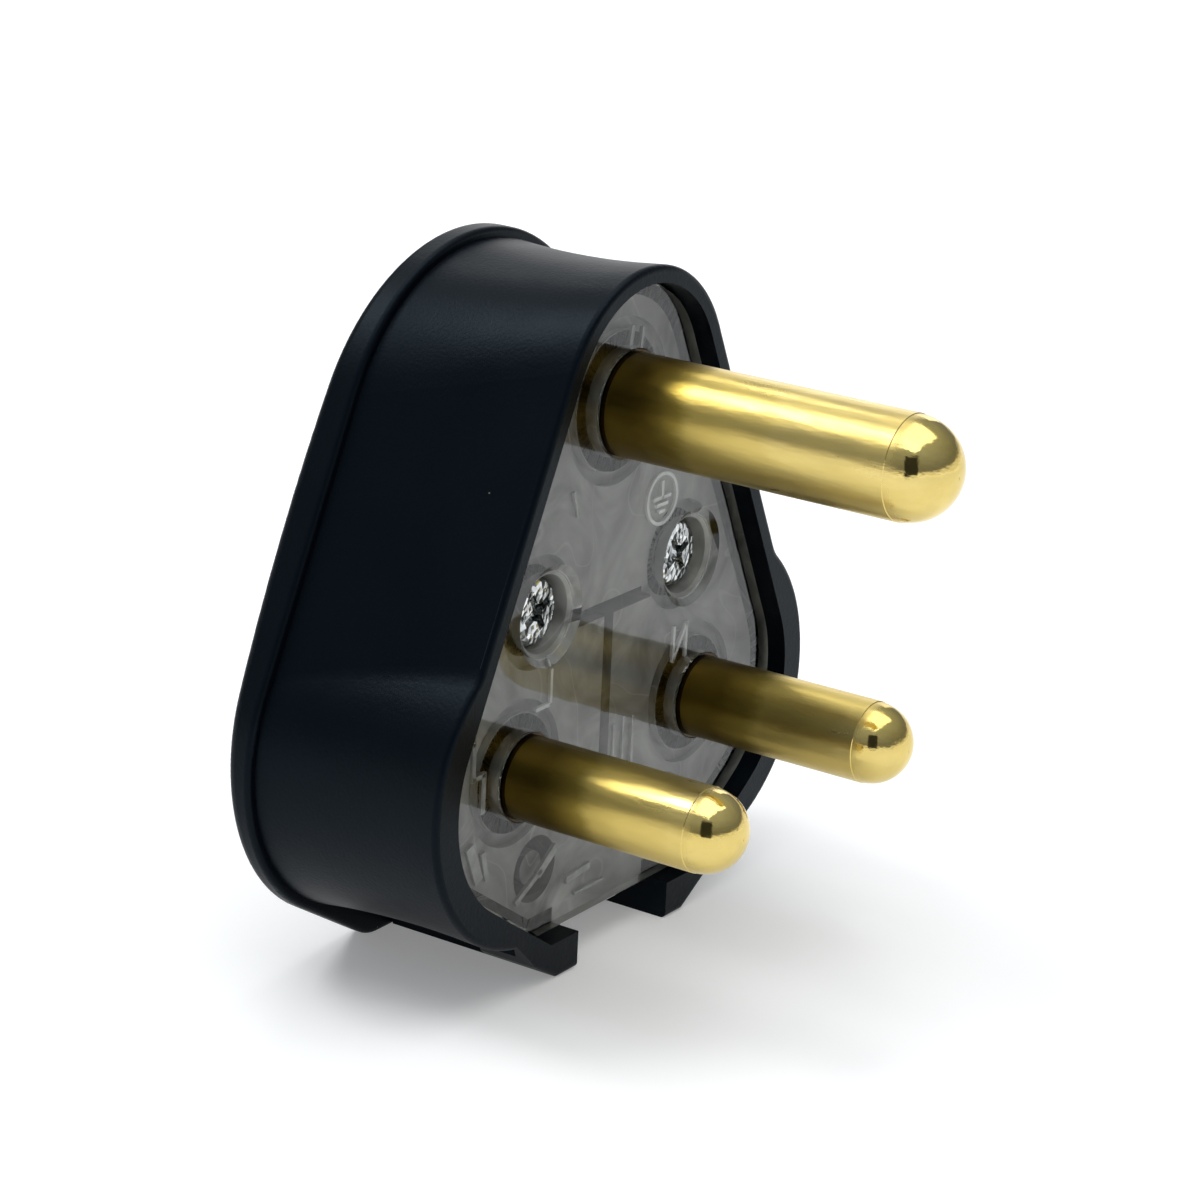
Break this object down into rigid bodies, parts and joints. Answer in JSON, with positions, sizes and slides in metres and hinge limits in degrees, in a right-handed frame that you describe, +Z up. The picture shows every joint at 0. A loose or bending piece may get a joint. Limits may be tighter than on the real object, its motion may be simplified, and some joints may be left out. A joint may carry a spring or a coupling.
{
  "type": "rewirable electric plug",
  "caption": "Rewirable mains plug: round brass pins in a clear base plate that screws into a soft black cover, with a grip flange at the back and a cord spout below.",
  "frame": {"origin": "centre of the bottom of the bounding box: on the ground plane, midway between the two line pins and midway along the plug's depth", "axes": "+Z up, from the cord spout to the earth pin; -Y the way the pins point; +X towards the neutral pin"},
  "size_m": [0.058, 0.0504, 0.0588],
  "materials": {
    "cover_rubber": "satin",
    "clear_plastic": "gloss",
    "brass": "satin",
    "zinc_steel": "satin",
    "clamp_plastic": "matte"
  },
  "bodies": {
    "root": {"rubber_cover": "cover_rubber", "base_plate": "clear_plastic", "earth_pin": "brass", "live_pin": "brass", "neutral_pin": "brass", "earth_terminal_screw": "brass", "live_terminal_screw": "brass", "neutral_terminal_screw": "brass", "left_insert": "brass", "right_insert": "brass", "left_cover_screw": "zinc_steel", "right_cover_screw": "zinc_steel", "left_clamp_screw": "zinc_steel", "right_clamp_screw": "zinc_steel", "cord_clamp": "clamp_plastic"}
  },
  "joints": []
}
